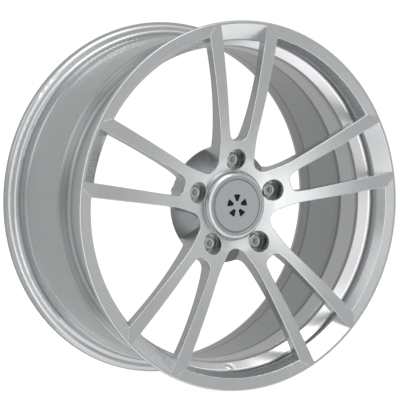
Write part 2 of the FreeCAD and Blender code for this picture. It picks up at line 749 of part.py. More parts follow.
def hexagon_outline():
    """The bolt's hexagon across flats, on the bolt circle at 12 o'clock."""
    corner = "dims.bolt_hex_width / sqrt(3)"
    centre = "dims.bolt_circle / 2"
    return [
        Corner(f"{corner} * cos({60 * turn_step} deg)", f"{centre} + {corner} * sin({60 * turn_step} deg)")
        for turn_step in range(6)
    ]


def make_bolt(number):
    """A hexagon-headed wheel bolt."""
    body = new_body(f"lug_bolt_{number}")
    foot = "(dims.bolt_flange_depth + dims.bolt_flange_round)"
    hexagon = new_sketch(body, f"hexagon_profile_{number}", "XZ_Plane", hexagon_outline(),
                         lift=f"-({at_depth(foot)})")
    head = body.newObject("PartDesign::Pad", f"hexagon_{number}")
    head.Profile = hexagon
    head.setExpression("Length", f"{foot} - dims.bolt_end_depth")
    for kind, name, outline in (
        ("Revolution", "shank", shank_outline()),
        ("Groove", "crown", crown_outline()),
        ("Groove", "recess", recess_outline()),
    ):
        profile = new_sketch(body, f"{name}_profile_{number}", "YZ_Plane", outline)
        add_own_axis(profile, "dims.bolt_circle / 2")
        turn(body, kind, f"{name}_{number}", profile, axis="Axis0")
    turn_to_place(body, number)
    return body


def cap_outline():
    """Half section of the cap: recessed plate, skirt and the collar that its fingers are cut from."""
    plate_front = "dims.cap_front_depth + dims.cap_face_thickness"
    plate_back = f"{plate_front} + dims.cap_plate_thickness"
    skirt_foot = "dims.boss_depth + dims.cap_recess_sink - dims.fit_gap"
    skirt_inside = "dims.cap_radius - dims.cap_rim_width"
    return [
        Corner("0", at_depth(plate_front)),
        Corner("dims.cap_face_radius", at_depth(plate_front)),
        Corner("dims.cap_face_radius", at_depth("dims.cap_front_depth")),
        Corner("dims.cap_radius", at_depth("dims.cap_front_depth"), rounding="dims.cap_edge_round"),
        Corner("dims.cap_radius", at_depth(skirt_foot)),
        Corner(skirt_inside, at_depth(skirt_foot)),
        Corner(skirt_inside, at_depth(plate_back)),
        Corner("dims.cap_collar_radius", at_depth(plate_back)),
        Corner("dims.cap_collar_radius", at_depth("dims.cap_bead_depth - dims.cap_bead_half_length")),
        Corner("dims.cap_bead_radius", at_depth("dims.cap_bead_depth"), rounding="dims.cap_bead_round"),
        Corner("dims.cap_collar_radius", at_depth("dims.cap_bead_depth + dims.cap_bead_half_length")),
        Corner("dims.cap_collar_radius", at_depth("dims.cap_collar_end_depth")),
        Corner("dims.cap_collar_inner_radius", at_depth("dims.cap_collar_end_depth")),
        Corner("dims.cap_collar_inner_radius", at_depth(plate_back)),
        Corner("0", at_depth(plate_back)),
    ]


def make_cap_body():
    """The moulded centre cap, with spring fingers that reach into the wheel's clip bore."""
    body = new_body("cap_body")
    profile = new_sketch(body, "cap_profile", "XY_Plane", cap_outline())
    turn(body, "Revolution", "cap_shell", profile)
    half = "dims.cap_slot_width / 2"
    start = at_depth("dims.cap_slot_start_depth")
    end = at_depth("dims.cap_collar_end_depth + dims.tool_overrun")
    corners = [Corner(f"-{half}", start), Corner(half, start), Corner(half, end), Corner(f"-{half}", end)]
    slot_profile = new_sketch(body, "slot_profile", "XY_Plane", corners)
    slot = body.newObject("PartDesign::Pocket", "slot")
    slot.Profile = slot_profile
    slot.Type = "ThroughAll"
    slot.Reversed = True
    repeat_round(body, "slots", [slot], "dims.cap_slots")
    return body


def inlay_outline():
    """One inlay of the cap's plain five-fold motif, at 12 o'clock."""
    inner = "dims.inlay_half_width_inner"
    outer = "dims.inlay_half_width_outer"
    return [
        Corner(f"-{inner}", "dims.inlay_inner_radius"),
        Corner(inner, "dims.inlay_inner_radius"),
        Corner(outer, "dims.inlay_outer_radius", arc="dims.inlay_crown_radius"),
        Corner(f"-{outer}", "dims.inlay_outer_radius"),
    ]


def make_cap_face():
    """The thin metal disc let into the front of the cap, with a shallow seat for each inlay."""
    body = new_body("cap_face_disc")
    front = at_depth("dims.cap_front_depth")
    back = at_depth("dims.cap_front_depth + dims.cap_face_thickness")
    edge = "dims.cap_face_radius - dims.fit_gap"
    corners = [
        Corner("0", front),
        Corner("0", back),
        Corner(edge, back),
        Corner(edge, front, rounding="dims.cap_face_round"),
    ]
    turn(body, "Revolution", "face_disc", new_sketch(body, "face_disc_profile", "XY_Plane", corners))
    profile = new_sketch(body, "inlay_seat_profile", "XZ_Plane", inlay_outline(), lift=f"-({front})")
    seat = body.newObject("PartDesign::Pocket", "inlay_seat")
    seat.Profile = profile
    seat.setExpression("Length", "dims.inlay_thickness")
    repeat_round(body, "inlay_seats", [seat], "dims.spoke_pairs")
    return body


def make_cap_inlay(number):
    """A dark inlay, flush with the face of the cap."""
    body = new_body(f"cap_inlay_{number}")
    seat = at_depth("dims.cap_front_depth + dims.inlay_thickness")
    profile = new_sketch(body, f"inlay_profile_{number}", "XZ_Plane", inlay_outline(), lift=f"-({seat})")
    inlay = body.newObject("PartDesign::Pad", f"inlay_{number}")
    inlay.Profile = profile
    inlay.setExpression("Length", "dims.inlay_thickness")
    turn_to_place(body, number)
    return body


def make_clip_wire():
    """The round wire ring that presses the cap's fingers outwards."""
    ring = document.addObject("Part::Torus", "cap_clip_ring")
    ring.Label = "cap_clip_ring"
    ring.setExpression("Radius1", "dims.cap_collar_inner_radius - dims.clip_wire_radius")
    ring.setExpression("Radius2", "dims.clip_wire_radius")
    ring.Placement = Placement(Vector(), Rotation(Vector(1, 0, 0), 90))
    ring.setExpression("Placement.Base.y", at_depth("dims.clip_wire_depth"))
    return ring


def check_document(pieces):
    """Stops if any object failed or any piece is not a valid solid."""
    for item in document.Objects:
        if "Invalid" in item.State or "Error" in item.State:
            raise RuntimeError(f"{item.Name} failed: {item.State}")
    for piece in pieces:
        shape = piece.Shape
        if shape.isNull() or not shape.isValid() or not shape.Solids:
            raise RuntimeError(f"{piece.Label} is not a valid solid")
        print(f"{piece.Label}: {len(shape.Solids)} solid, {shape.Volume / 1000:.1f} cm3")


fill_sheet()
pieces = [make_forging(), make_cap_body(), make_clip_wire(), make_cap_face()]
for place in range(1, DIMENSIONS["spoke_pairs"] + 1):
    pieces += [make_collar(place), make_bolt(place), make_cap_inlay(place)]
document.recompute()
check_document(pieces)
os.makedirs("parts", exist_ok=True)
for piece in pieces:
    piece.Shape.exportStep(f"parts/{piece.Label}.step")
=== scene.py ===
import math

import bpy
import bmesh
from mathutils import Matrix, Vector


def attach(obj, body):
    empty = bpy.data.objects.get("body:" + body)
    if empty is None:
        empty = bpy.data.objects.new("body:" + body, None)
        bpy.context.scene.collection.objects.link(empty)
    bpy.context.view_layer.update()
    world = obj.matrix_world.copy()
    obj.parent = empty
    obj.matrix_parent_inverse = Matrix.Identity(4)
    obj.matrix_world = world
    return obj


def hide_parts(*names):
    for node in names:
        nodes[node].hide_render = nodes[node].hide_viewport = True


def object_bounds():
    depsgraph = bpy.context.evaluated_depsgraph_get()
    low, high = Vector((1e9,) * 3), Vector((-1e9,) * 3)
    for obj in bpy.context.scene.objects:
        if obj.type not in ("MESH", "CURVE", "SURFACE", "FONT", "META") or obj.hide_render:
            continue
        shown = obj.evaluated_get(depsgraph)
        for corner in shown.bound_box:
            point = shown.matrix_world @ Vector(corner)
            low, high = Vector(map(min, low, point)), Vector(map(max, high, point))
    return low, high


# The looks of a forged wheel: satin silver paint, plated lug bolts with real threads, and a
# studio that suits them. Metres. -Y is the street side, +Y the car side, +Z up.

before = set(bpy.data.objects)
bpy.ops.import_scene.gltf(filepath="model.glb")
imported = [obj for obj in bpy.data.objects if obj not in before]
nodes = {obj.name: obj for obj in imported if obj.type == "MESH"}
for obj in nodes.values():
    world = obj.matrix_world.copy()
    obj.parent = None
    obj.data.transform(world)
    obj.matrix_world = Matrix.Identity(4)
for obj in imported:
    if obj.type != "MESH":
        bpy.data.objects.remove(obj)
cad_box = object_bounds()

MM = 0.001
LUG_COUNT = 5
BOLT_CIRCLE_RADIUS = 65 * MM

# ---------------------------------------------------------------- node helpers


class Shader:
    """A material's node tree, with short ways to add and join its nodes."""

    def __init__(self, name):
        self.material = bpy.data.materials.new(name)
        self.material.use_nodes = True
        self.tree = self.material.node_tree
        self.tree.nodes.clear()
        self.output = self.add("ShaderNodeOutputMaterial")
        self.surface = self.add("ShaderNodeBsdfPrincipled")
        self.join(self.surface, "BSDF", self.output, "Surface")
        self.place = self.add("ShaderNodeTexCoord")

    def add(self, kind, **settings):
        node = self.tree.nodes.new(kind)
        for key, value in settings.items():
            setattr(node, key, value)
        return node

    def join(self, source, out_name, target, in_name):
        self.tree.links.new(source.outputs[out_name], target.inputs[in_name])

    def set(self, **values):
        for key, value in values.items():
            name = key.replace("_", " ").title().replace("Ior", "IOR")
            self.surface.inputs[name].default_value = value

    def noise(self, scale, detail=2.0, roughness=0.5):
        """Soft noise in the object's own metres."""
        node = self.add("ShaderNodeTexNoise")
        node.inputs["Scale"].default_value = scale
        node.inputs["Detail"].default_value = detail
        node.inputs["Roughness"].default_value = roughness
        self.join(self.place, "Object", node, "Vector")
        return node

    def flakes(self, scale):
        """A random value for each tiny cell, like the flakes in metallic paint."""
        node = self.add("ShaderNodeTexVoronoi")
        node.inputs["Scale"].default_value = scale
        self.join(self.place, "Object", node, "Vector")
        return node

    def remap(self, source, out_name, low, high, in_low=0.0, in_high=1.0):
        node = self.add("ShaderNodeMapRange")
        node.inputs["From Min"].default_value = in_low
        node.inputs["From Max"].default_value = in_high
        node.inputs["To Min"].default_value = low
        node.inputs["To Max"].default_value = high
        self.join(source, out_name, node, "Value")
        return node

    def ramp(self, source, out_name, stops):
        """Colours along a value, from (position, colour) pairs in rising order."""
        node = self.add("ShaderNodeValToRGB")
        elements = node.color_ramp.elements
        elements[0].position = stops[0][0]
        elements[1].position = stops[-1][0]
        for position, _ in stops[1:-1]:
            elements.new(position)
        for element, (_, color) in zip(elements, stops):
            element.color = (*color, 1.0)
        self.join(source, out_name, node, "Fac")
        return node

    def times(self, first, second):
        """The product of two values."""
        node = self.add("ShaderNodeMath", operation="MULTIPLY")
        self.tree.links.new(first.outputs[0], node.inputs[0])
        self.tree.links.new(second.outputs[0], node.inputs[1])
        return node

    def between(self, source, out_name, low, high, edge):
        """1 between two values and 0 outside them, with soft edges."""
        rise = self.remap(source, out_name, 0.0, 1.0, low - edge, low + edge)
        fall = self.remap(source, out_name, 1.0, 0.0, high - edge, high + edge)
        return self.times(rise, fall)

    def bump(self, source, out_name, distance, strength=1.0, before=None):
        node = self.add("ShaderNodeBump")
        node.inputs["Distance"].default_value = distance
        node.inputs["Strength"].default_value = strength
        self.join(source, out_name, node, "Height")
        if before:
            self.join(before, "Normal", node, "Normal")
        return node


def around_axis(shader):
    """Radius from the piece's own Y axis, and the place split into X, Y and Z."""
    split = shader.add("ShaderNodeSeparateXYZ")
    shader.join(shader.place, "Object", split, 0)
    flat = shader.add("ShaderNodeCombineXYZ")
    shader.join(split, "X", flat, "X")
    shader.join(split, "Z", flat, "Z")
    length = shader.add("ShaderNodeVectorMath", operation="LENGTH")
    shader.join(flat, "Vector", length, 0)
    return length, split


def outward_lean(shader):
    """How far a surface leans away from the wheel's axis: 1 looks outwards, -1 looks inwards."""
    shape = shader.add("ShaderNodeNewGeometry")
    flat = shader.add("ShaderNodeVectorMath", operation="MULTIPLY")
    flat.inputs[1].default_value = (1.0, 0.0, 1.0)
    shader.join(shader.place, "Object", flat, 0)
    outward = shader.add("ShaderNodeVectorMath", operation="NORMALIZE")
    shader.join(flat, "Vector", outward, 0)
    lean = shader.add("ShaderNodeVectorMath", operation="DOT_PRODUCT")
    shader.join(outward, "Vector", lean, 0)
    shader.join(shape, "Normal", lean, 1)
    return lean


def depth_tones(shader, split, tones):
    """Tones of the rim's surface along its width, from (depth in mm, tone) pairs."""
    first, last = tones[0][0], tones[-1][0]
    along = shader.remap(split, "Y", 0.0, 1.0, first * MM, last * MM)
    stops = [((depth - first) / (last - first), (tone, tone, tone)) for depth, tone in tones]
    return shader.ramp(along, "Result", stops)


def ring_ramp(shader, tones):
    """Tones of rings about the piece's own axis, from (radius in mm, tone) pairs."""
    last = tones[-1][0]
    radius, _ = around_axis(shader)
    span = shader.remap(radius, "Value", 0.0, 1.0, 0.0, last * MM)
    return shader.ramp(span, "Result", [(ring / last, (tone, tone, tone)) for ring, tone in tones])


def tone_by(shader, color, out_name, tones, amount=None):
    """Multiplies a colour by tones, wholly or as far as amount says."""
    node = shader.add("ShaderNodeMix", data_type="RGBA", blend_type="MULTIPLY")
    node.inputs["Factor"].default_value = 1.0
    if amount:
        shader.join(amount, "Result", node, "Factor")
    shader.join(color, out_name, node, "A")
    shader.join(tones, "Color", node, "B")
    return node


# ---------------------------------------------------------------- materials

PAINT_DARK = (0.590, 0.603, 0.606)
PAINT_LIGHT = (0.605, 0.618, 0.621)
PAINT_ROUGHNESS = (0.25, 0.28)
FLAKE_SCALE = 2600.0
FLAKE_SHARE = 0.035
EDGE_ROUNDING = 0.9 * MM
RIM_RADII = (200 * MM, 400 * MM)
# tones along the rim's width, as (mm from the mounting face, tone): painted light just inside the
# lip, painted shade inside the barrel and along its steps and grooves, inside and outside
INSIDE_PAINTED_LIGHT_AND_SHADE = (
    (-62.0, 1.25), (-50.0, 1.20), (-46.0, 0.86), (-40.5, 0.85), (-39.0, 0.55), (-31.5, 0.55),
    (-31.0, 1.0), (-15.5, 1.0), (-14.0, 0.66), (-11.5, 0.62), (-10.0, 1.06), (25.5, 1.06),
    (27.0, 0.42), (34.0, 0.40), (42.0, 0.46), (60.0, 0.66), (127.5, 0.68), (130.0, 0.40),
    (133.0, 0.40), (135.0, 0.55), (158.0, 0.55), (160.0, 1.0),
)
OUTSIDE_PAINTED_SHADE = (
    (-60.0, 1.0), (30.0, 1.0), (32.5, 0.50), (37.0, 0.66), (38.5, 0.58), (42.0, 0.82),
    (45.5, 1.0), (132.0, 1.0), (135.0, 0.98), (139.0, 0.98), (141.0, 1.0), (145.0, 0.78),
    (157.0, 0.78), (161.0, 1.0),
)
# tones of rings, as (mm from the piece's axis, tone): painted shade in the bolt head's recess and
# groove and on its crown, and painted shade in the thin joins round the cap's face disc
BOLT_PAINTED_SHADE = (
    (0.0, 0.45), (3.4, 0.45), (4.0, 0.30), (4.4, 0.35), (4.7, 1.0), (7.3, 1.0), (7.5, 0.45),
    (8.1, 0.45), (8.4, 0.85), (10.5, 0.80), (12.0, 1.0),
)
# painted shade in the thin joins at the edges of the cap body and its face disc
CAP_JOIN_SHADE = ((0.0, 1.0), (37.5, 1.0), (37.7, 0.35), (40.0, 0.35))
DISC_JOIN_SHADE = ((0.0, 1.0), (35.9, 1.0), (36.1, 0.40), (38.0, 0.40))
VALVE_PLACE = (0.0, -24 * MM, -231 * MM)
VALVE_AXIS = (0.0, math.sin(math.radians(30.1)), -math.cos(math.radians(30.1)))
VALVE_HOLE_RADII = (8.5 * MM, 8.8 * MM)
# painted shade in the lug pockets
POCKET_SHADE_TINT = (0.52, 0.52, 0.53, 1.0)
POCKET_RADII = (15.6 * MM, 16.2 * MM)
POCKET_DEPTHS = (-47.5 * MM, -45.0 * MM)
# painted shade in a fine line round the cap's seat
CAP_GROOVE_RADII = (40.3 * MM, 41.0 * MM)
CAP_GROOVE_SHADE_TINT = (0.45, 0.45, 0.46, 1.0)
# bare metal on the turned band; on the valve hole the same white is partly painted light
TURNED_AND_VALVE_LIGHT_COLOR = (0.97, 0.97, 0.98, 1.0)
TURNED_DEPTHS = (-30.8 * MM, -15.8 * MM)
TURNED_RADII = (226 * MM, 235.6 * MM)
# the fine turned grooves catch light from the street side
TURNED_LEAN = 0.60
TURNED_DULLER = 1.15


def from_bolt_axis(shader, split):
    """Distance from the axis of the nearest lug bolt, by folding the bolt circle onto one bolt."""
    turn = shader.add("ShaderNodeMath", operation="ARCTAN2")
    shader.join(split, "X", turn, 0)
    shader.join(split, "Z", turn, 1)
    share = 2 * math.pi / LUG_COUNT
    fold = shader.add("ShaderNodeMath", operation="PINGPONG")
    fold.inputs[1].default_value = share / 2
    shader.join(turn, "Value", fold, 0)
    radius, _ = around_axis(shader)
    aside = shader.add("ShaderNodeMath", operation="SINE")
    shader.join(fold, "Value", aside, 0)
    along = shader.add("ShaderNodeMath", operation="COSINE")
    shader.join(fold, "Value", along, 0)
    across = shader.times(radius, aside)
    ahead = shader.times(radius, along)
    place = shader.add("ShaderNodeCombineXYZ")
    shader.join(across, "Value", place, "X")
    shader.join(ahead, "Value", place, "Y")
    gap = shader.add("ShaderNodeVectorMath", operation="DISTANCE")
    gap.inputs[1].default_value = (0.0, BOLT_CIRCLE_RADIUS, 0.0)
    shader.join(place, "Vector", gap, 0)
    return gap


def pocket_painted_shade(shader, color, split):
    """Painted shade on the walls and floors of the lug pockets."""
    near = shader.remap(from_bolt_axis(shader, split), "Value", 1.0, 0.0, *POCKET_RADII)
    sunk = shader.remap(split, "Y", 0.0, 1.0, *POCKET_DEPTHS)
    pocket = shader.remap(shader.times(near, sunk), "Value", 0.0, 1.0)
    node = shader.add("ShaderNodeMix", data_type="RGBA", blend_type="MULTIPLY")
    node.inputs["B"].default_value = POCKET_SHADE_TINT
    shader.join(pocket, "Result", node, "Factor")
    shader.join(color, "Result", node, "A")
    return node


def cap_groove_painted_shade(shader, color, radius):
    """Painted shade in a fine dark line round the cap's seat."""
    line = shader.between(radius, "Value", *CAP_GROOVE_RADII, 0.2 * MM)
    node = shader.add("ShaderNodeMix", data_type="RGBA", blend_type="MULTIPLY")
    node.inputs["B"].default_value = CAP_GROOVE_SHADE_TINT
    shader.join(line, "Value", node, "Factor")
    shader.join(color, "Result", node, "A")
    return node


def valve_painted_light(shader, split):
    """1 on the valve hole's machined ring and on its wall; their white is partly painted light,
    standing in for the white seen through the hole.
    """
    from_valve = shader.add("ShaderNodeVectorMath", operation="SUBTRACT")
    from_valve.inputs[1].default_value = VALVE_PLACE
    shader.join(shader.place, "Object", from_valve, 0)
    aside = shader.add("ShaderNodeVectorMath", operation="CROSS_PRODUCT")
    aside.inputs[1].default_value = VALVE_AXIS
    shader.join(from_valve, "Vector", aside, 0)
    gap = shader.add("ShaderNodeVectorMath", operation="LENGTH")
    shader.join(aside, "Vector", gap, 0)
    below = shader.remap(split, "Z", 1.0, 0.0, -200 * MM, -190 * MM)
    return shader.times(shader.remap(gap, "Value", 1.0, 0.0, *VALVE_HOLE_RADII), below)


def flaked_color(shader):
    """The paint's silver, slightly uneven and with fine flakes."""
    cloud = shader.noise(14.0, 3.0)
    color = shader.ramp(cloud, "Fac", ((0.3, PAINT_DARK), (0.7, PAINT_LIGHT)))
    tint = shader.add("ShaderNodeMix", data_type="RGBA", blend_type="OVERLAY")
    tint.inputs["Factor"].default_value = FLAKE_SHARE
    shader.join(color, "Color", tint, "A")
    shader.join(shader.flakes(FLAKE_SCALE), "Color", tint, "B")
    return tint


def rim_painted_light_and_shade(shader, color, radius, split):
    """Painted light just inside the lip, and painted shade inside the barrel and along its steps and
    grooves, inside and outside.
    """
    lean = outward_lean(shader)
    inside = shader.remap(lean, "Value", 1.0, 0.0, -0.6, -0.3)
    outside = shader.remap(lean, "Value", 0.0, 1.0, 0.3, 0.6)
    rim_only = shader.between(radius, "Value", *RIM_RADII, 2 * MM)
    outer = shader.remap(shader.times(outside, rim_only), "Value", 0.0, 1.0)
    # painted light and shade on the inward-facing rim, then painted shade on the outside of the
    # barrel
    duller = tone_by(shader, color, "Result", depth_tones(shader, split, INSIDE_PAINTED_LIGHT_AND_SHADE), inside)
    return tone_by(shader, duller, "Result", depth_tones(shader, split, OUTSIDE_PAINTED_SHADE), outer)


def bare_band_and_valve_light(shader, radius, split):
    """1 on the turned band behind the lip, which is bare metal, and on the valve hole, whose white
    is partly painted light.
    """
    band = shader.between(split, "Y", *TURNED_DEPTHS, 0.4 * MM)
    wide = shader.between(radius, "Value", *TURNED_RADII, 0.4 * MM)
    bare_and_lit_valve = shader.add("ShaderNodeMath", operation="MAXIMUM")
    shader.join(shader.times(band, wide), "Value", bare_and_lit_valve, 0)
    shader.join(valve_painted_light(shader, split), "Value", bare_and_lit_valve, 1)
    return bare_and_lit_valve


def turned_lean(shader, normal, bare_and_lit_valve):
    """Tips the normal of bare metal to the street side, as its fine turned grooves do."""
    amount = shader.add("ShaderNodeCombineXYZ")
    shader.join(bare_and_lit_valve, "Value", amount, "Y")
    tipped = shader.add("ShaderNodeVectorMath", operation="MULTIPLY_ADD")
    tipped.inputs[0].default_value = (0.0, -TURNED_LEAN, 0.0)
    shader.join(amount, "Vector", tipped, 1)
    shader.join(normal, "Normal", tipped, 2)
    level = shader.add("ShaderNodeVectorMath", operation="NORMALIZE")
    shader.join(tipped, "Vector", level, 0)
    return level


def silver_paint():
    """Satin silver metallic paint with a clear coat, fine flakes and faint orange peel.

    The turned band behind the lip is bare metal. Painted light lies just inside the lip and partly
    in the valve hole, and painted shade inside and outside the barrel, in the lug pockets and in a
    line round the cap's seat."""
    shader = Shader("silver_paint")
    shader.set(metallic=0.94, coat_weight=0.45, coat_roughness=0.08, coat_ior=1.5)
    radius, split = around_axis(shader)
    toned = rim_painted_light_and_shade(shader, flaked_color(shader), radius, split)
    toned = pocket_painted_shade(shader, toned, split)
    toned = cap_groove_painted_shade(shader, toned, radius)
    bare_and_lit_valve = bare_band_and_valve_light(shader, radius, split)
    # bare metal on the turned band, and partly painted light in the valve hole
    bright = shader.add("ShaderNodeMix", data_type="RGBA")
    bright.inputs["B"].default_value = TURNED_AND_VALVE_LIGHT_COLOR
    shader.join(bare_and_lit_valve, "Value", bright, "Factor")
    shader.join(toned, "Result", bright, "A")
    shader.join(bright, "Result", shader.surface, "Base Color")
    rough = shader.remap(shader.noise(60.0, 3.0), "Fac", *PAINT_ROUGHNESS, 0.3, 0.7)
    duller = shader.remap(bare_and_lit_valve, "Value", 1.0, TURNED_DULLER)
    shader.join(shader.times(rough, duller), "Value", shader.surface, "Roughness")
    soft_edges = shader.add("ShaderNodeBevel", samples=8)
    soft_edges.inputs["Radius"].default_value = EDGE_ROUNDING
    peel = shader.bump(shader.noise(420.0, 2.0), "Fac", 0.01 * MM, 0.02, before=soft_edges)
    leaned = turned_lean(shader, peel, bare_and_lit_valve)
    shader.join(leaned, "Vector", shader.surface, "Normal")
    shader.join(leaned, "Vector", shader.surface, "Coat Normal")
    return shader.material


def plated_steel(name, color, roughness, ring_tones=None):
    """Zinc-plated steel: fine turning marks and slightly uneven brightness.

    ring_tones are (radius in mm, tone) pairs about the piece's own axis."""
    shader = Shader(name)
    shader.set(metallic=1.0)
    patch = shader.noise(900.0, 3.0)
    dark = tuple(c * 0.86 for c in color)
    shade = shader.ramp(patch, "Fac", ((0.35, dark), (0.65, color)))
    shader.join(shade, "Color", shader.surface, "Base Color")
    if ring_tones:
        # painted shade in rings about the piece's axis, such as the bolt head's recess and groove
        toned = tone_by(shader, shade, "Color", ring_ramp(shader, ring_tones))
        shader.join(toned, "Result", shader.surface, "Base Color")
    low, high = roughness * 0.8, roughness * 1.25
    rough = shader.remap(shader.noise(1500.0, 2.0), "Fac", low, high, 0.3, 0.7)
    shader.join(rough, "Result", shader.surface, "Roughness")
    grain = shader.add("ShaderNodeTexNoise")
    grain.inputs["Scale"].default_value = 1.0
    stretch = shader.add("ShaderNodeMapping")
    stretch.inputs["Scale"].default_value = (400.0, 6000.0, 400.0)
    shader.join(shader.place, "Object", stretch, "Vector")
    shader.join(stretch, "Vector", grain, "Vector")
    marks = shader.bump(grain, "Fac", 0.00003, 0.3)
    shader.join(marks, "Normal", shader.surface, "Normal")
    return shader.material


def cap_moulding():
    """Silver-grey moulded plastic, lightly textured."""
    shader = Shader("cap_moulding")
    shader.set(metallic=0.75, coat_weight=0.3, coat_roughness=0.15)
    cloud = shader.noise(90.0, 3.0)
    color = shader.ramp(cloud, "Fac", ((0.3, (0.42, 0.43, 0.44)), (0.7, (0.45, 0.46, 0.47))))
    # painted shade in the thin join at the cap body's edge
    toned = tone_by(shader, color, "Color", ring_ramp(shader, CAP_JOIN_SHADE))
    shader.join(toned, "Result", shader.surface, "Base Color")
    rough = shader.remap(cloud, "Fac", 0.30, 0.38, 0.3, 0.7)
    shader.join(rough, "Result", shader.surface, "Roughness")
    texture = shader.bump(shader.noise(1800.0, 2.0), "Fac", 0.00003, 0.3)
    shader.join(texture, "Normal", shader.surface, "Normal")
    return shader.material


def cap_metal():
    """Fine satin silver disc with faint concentric turning marks."""
    shader = Shader("cap_metal")
    shader.set(metallic=0.6, coat_weight=0.5, coat_roughness=0.2)
    radius, _ = around_axis(shader)
    rings = shader.add("ShaderNodeTexNoise", noise_dimensions="1D")
    rings.inputs["Scale"].default_value = 5200.0
    rings.inputs["Detail"].default_value = 2.0
    shader.join(radius, "Value", rings, "W")
    color = shader.ramp(rings, "Fac", ((0.3, (0.41, 0.42, 0.43)), (0.7, (0.44, 0.45, 0.46))))
    # painted shade in the thin join at the disc's edge
    toned = tone_by(shader, color, "Color", ring_ramp(shader, DISC_JOIN_SHADE))
    shader.join(toned, "Result", shader.surface, "Base Color")
    rough = shader.remap(rings, "Fac", 0.36, 0.44, 0.3, 0.7)
    shader.join(rough, "Result", shader.surface, "Roughness")
    marks = shader.bump(rings, "Fac", 0.00001, 0.25)
    shader.join(marks, "Normal", shader.surface, "Normal")
    return shader.material


def inlay_black():
    """Gloss black enamel with a little orange peel."""
    shader = Shader("inlay_black")
    shader.set(coat_weight=0.1, coat_roughness=0.08)
    shader.surface.inputs["Specular IOR Level"].default_value = 0.25
    cloud = shader.noise(300.0, 2.0)
    color = shader.ramp(cloud, "Fac", ((0.3, (0.004, 0.004, 0.006)), (0.7, (0.006, 0.007, 0.009))))
    shader.join(color, "Color", shader.surface, "Base Color")
    rough = shader.remap(cloud, "Fac", 0.22, 0.3, 0.3, 0.7)
    shader.join(rough, "Result", shader.surface, "Roughness")
    peel = shader.bump(shader.noise(700.0, 2.0), "Fac", 0.00002, 0.2)
    shader.join(peel, "Normal", shader.surface, "Normal")
    return shader.material


FLOOR_GLOW = 1.32
FLOOR_GLOW_SHARE = 0.7


def floor_white():
    """A plain white studio floor. It glows a little, as an overexposed floor does."""
    shader = Shader("floor_white")
    shader.set(roughness=0.8)
    shader.surface.inputs["Specular IOR Level"].default_value = 0.0
    cloud = shader.noise(0.8, 2.0)
    color = shader.ramp(cloud, "Fac", ((0.3, (0.74, 0.74, 0.74)), (0.7, (0.76, 0.76, 0.76))))
    shader.join(color, "Color", shader.surface, "Base Color")
    lit = shader.add("ShaderNodeEmission")
    lit.inputs["Strength"].default_value = FLOOR_GLOW
    path = shader.add("ShaderNodeLightPath")
    share = shader.add("ShaderNodeMath", operation="MULTIPLY")
    share.inputs[1].default_value = FLOOR_GLOW_SHARE
    shader.join(path, "Is Camera Ray", share, 0)
    blend = shader.add("ShaderNodeMixShader")
    shader.join(share, "Value", blend, "Fac")
    shader.tree.links.new(shader.surface.outputs["BSDF"], blend.inputs[1])
    shader.tree.links.new(lit.outputs["Emission"], blend.inputs[2])
    shader.join(blend, "Shader", shader.output, "Surface")
    return shader.material


def dress(node_name, material):
    """Gives a CAD node its finished material."""
    piece = nodes[node_name]
    if not piece.material_slots:
        piece.data.materials.append(material)
    for place in piece.material_slots:
        place.material = material


PAINT = silver_paint()
BOLT_STEEL = plated_steel("bolt_steel", (0.55, 0.55, 0.55), 0.27, BOLT_PAINTED_SHADE)
COLLAR_STEEL = plated_steel("collar_steel", (0.66, 0.66, 0.64), 0.22)
SPRING_STEEL = plated_steel("spring_steel", (0.52, 0.52, 0.52), 0.28)
INLAY = inlay_black()

dress("wheel_forging", PAINT)
dress("cap_body", cap_moulding())
dress("cap_clip_ring", SPRING_STEEL)
dress("cap_face_disc", cap_metal())
for number in range(1, LUG_COUNT + 1):
    dress(f"cap_inlay_{number}", INLAY)
    dress(f"lug_collar_{number}", COLLAR_STEEL)

# ---------------------------------------------------------------- lug bolts

# millimetres; depths are from the wheel's outermost face
BOLT_COLUMNS = 96
HEX_FLAT = 9.5
HEX_CORNER = 10.8
NECK_RADIUS = 7.25
THREAD_CREST = 7.0
THREAD_HEIGHT = 0.9
THREAD_PITCH = 1.5
THREAD_START = 64.3
THREAD_END = 89.0
TIP_CHAMFER = 1.6
THREAD_ROWS_PER_TURN = 10
SHARP_ANGLE = math.radians(28)


def hexagon_radius(turn):
    """Radius of a hexagon with slightly rounded corners, in millimetres."""
    sixth = math.pi / 3
    off_flat = (turn % sixth) - sixth / 2
    return min(HEX_FLAT / math.cos(off_flat), HEX_CORNER)


def head_rows():
    """Rows of the head, from the middle of its end to its neck: radius, depth and kind."""
    rows = [(3.5, 33.4, "round"), (4.1, 33.1, "round"), (4.3, 32.6, "round"), (4.3, 32.1, "round")]
    rows += [(4.42, 31.88, "round"), (4.7, 31.8, "round"), (7.4, 31.8, "round")]
    rows += [(7.5, 31.86, "round"), (7.7, 31.86, "round"), (7.8, 31.8, "round"), (8.5, 31.82, "hex")]
    crown_steps = 12
    for step in range(1, crown_steps + 1):
        part = step / crown_steps
        rows.append((8.5 + 2.5 * part, 31.82 + 1.48 * part ** 1.1, "hex"))
    rows += [(HEX_CORNER, depth, "hex") for depth in (34.5, 37.0, 39.5, 42.0)]
    rows += [(0.15, 42.35, "fillet"), (0.45, 42.58, "fillet")]
    round_steps = 6
    for step in range(round_steps + 1):
        turn = math.pi / 2 * step / round_steps
        rows.append((11.1 + 0.5 * math.sin(turn), 43.1 - 0.5 * math.cos(turn), "round"))
    rows += [(11.6, 44.7, "round"), (11.5, 44.9, "round"), (11.3, 45.0, "round")]
    rows += [(NECK_RADIUS, 45.0, "round"), (NECK_RADIUS, THREAD_START - 1.0, "round")]
    return rows


